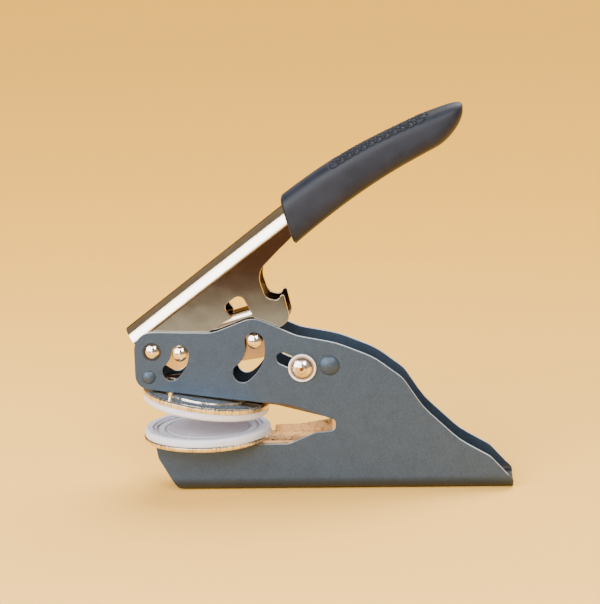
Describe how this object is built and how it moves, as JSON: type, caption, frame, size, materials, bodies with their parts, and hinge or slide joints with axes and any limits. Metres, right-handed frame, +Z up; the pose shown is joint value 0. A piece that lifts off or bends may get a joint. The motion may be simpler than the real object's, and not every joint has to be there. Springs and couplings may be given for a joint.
{
  "type": "seal embosser",
  "caption": "Hand-held seal embosser: folded steel body, plated lever and link in curved slots, hinged clip with two round plastic dies, sliding lock and rubber grip.",
  "frame": {"origin": "base plane, straight below the axis of the closed dies, in the middle of the body's width", "axes": "+X to the tail, so the jaws point along -X; +Y to the machine's left seen from the tail; +Z up from the surface it stands on"},
  "size_m": [0.1306, 0.044, 0.1303],
  "materials": {
    "blue_grey_enamel": "fine metallic powder coat, satin",
    "nickel_plate": "bright nickel plate with a warm tone",
    "bright_steel": "plain turned steel",
    "spring_steel": "oiled drawn wire",
    "dark_nylon": "moulded nylon",
    "milky_plastic": "translucent milky plastic, semi-gloss",
    "pale_nylon": "natural nylon",
    "charcoal_rubber": "soft matte rubber with a faint blue tone"
  },
  "bodies": {
    "body": {"frame_channel": "blue_grey_enamel", "pivot_bushes": "dark_nylon", "front_spacer_rivet": "blue_grey_enamel", "front_spacer_sleeve": "bright_steel", "rear_spacer_rivet": "blue_grey_enamel", "rear_spacer_sleeve": "bright_steel", "die_bed": "bright_steel", "lower_clip_arm": "nickel_plate", "clip_hinge_pin": "bright_steel", "return_spring": "spring_steel", "lower_die_holder": "nickel_plate", "lower_die": "milky_plastic", "lower_holder_rivets": "bright_steel"},
    "upper_clip": {"upper_clip_arm": "nickel_plate", "press_saddle": "bright_steel", "upper_holder_rivets": "bright_steel", "upper_die_holder": "nickel_plate", "upper_die": "milky_plastic", "locating_studs": "nickel_plate"},
    "lever": {"lever_channel": "nickel_plate", "lever_pivot_pin": "nickel_plate", "drive_pin": "nickel_plate", "rubber_grip": "charcoal_rubber"},
    "link": {"cam_link": "nickel_plate", "guide_pin": "nickel_plate", "press_pin": "bright_steel"},
    "lock": {"lock_pin": "nickel_plate", "lock_washers": "pale_nylon"}
  },
  "joints": [
    {"name": "lever_press", "type": "hinge", "parent": "body", "child": "lever", "pos_m": [-0.01687, 0, 0.04905], "axis": [0, 1, 0], "range_deg": [0, 34], "stiffness_Nm_per_rad": 0.6, "springref_deg": -17.19},
    {"name": "link_swing", "type": "hinge", "parent": "lever", "child": "link", "pos_m": [-0.00751, 0, 0.04817], "axis": [0, 1, 0], "range_deg": [-25.5, 0]},
    {"name": "clip_close", "type": "hinge", "parent": "body", "child": "upper_clip", "pos_m": [0.0463, 0, 0.0274], "axis": [0, 1, 0], "range_deg": [-8.5, 0], "deforming": ["return_spring"]},
    {"name": "lock_slide", "type": "slide", "parent": "body", "child": "lock", "axis": [-0.9048, 0, 0.4258], "range_m": [0, 0.005]}
  ],
  "couplings": [
    {"joint": "link_swing", "follows": "lever_press", "ratio": -0.75},
    {"joint": "clip_close", "follows": "lever_press", "ratio": -0.25}
  ]
}
